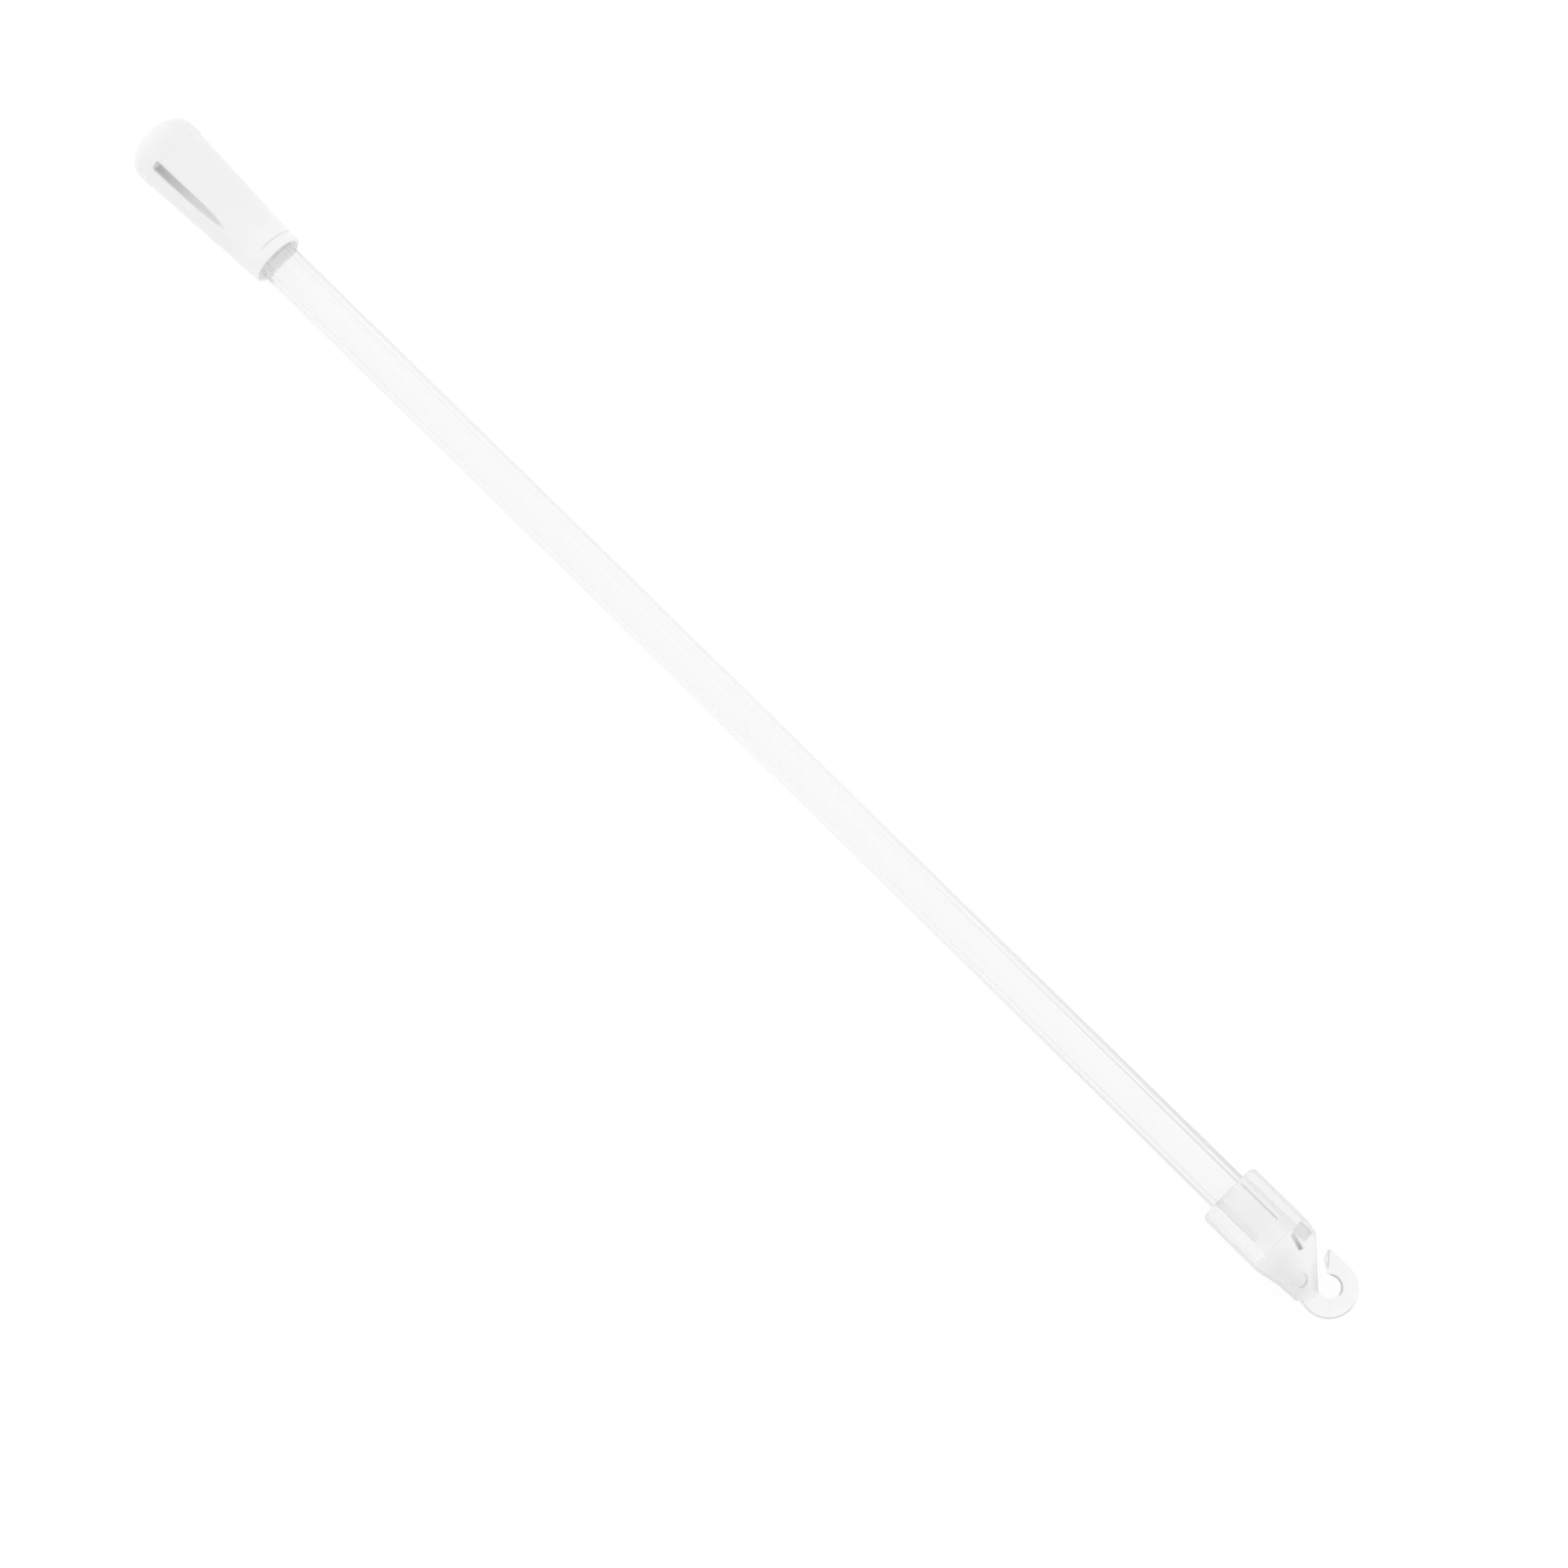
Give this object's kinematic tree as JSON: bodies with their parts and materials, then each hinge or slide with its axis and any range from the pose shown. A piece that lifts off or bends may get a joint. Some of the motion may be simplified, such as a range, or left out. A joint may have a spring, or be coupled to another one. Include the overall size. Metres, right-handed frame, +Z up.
{
  "type": "vertical blind wand",
  "caption": "Slim clear six-sided control wand with a tapered translucent grip at one end and a round sleeve ending in an open flat hook at the other.",
  "frame": {"origin": "middle of the wand's length and width, on the surface that it lies on", "axes": "+X along the wand towards the hook, +Y across it towards the side of the hook's tip, +Z up, square to the flat of the hook"},
  "size_m": [0.3, 0.0132, 0.0133],
  "materials": {
    "clear_rod": "clear, extruded, glossy",
    "clear_moulding": "clear, moulded, glossy",
    "translucent_grip": "milky translucent, moulded, satin"
  },
  "bodies": {
    "root": {"wand_rod": "clear_rod", "hook_connector": "clear_moulding", "handle": "translucent_grip"}
  },
  "joints": []
}
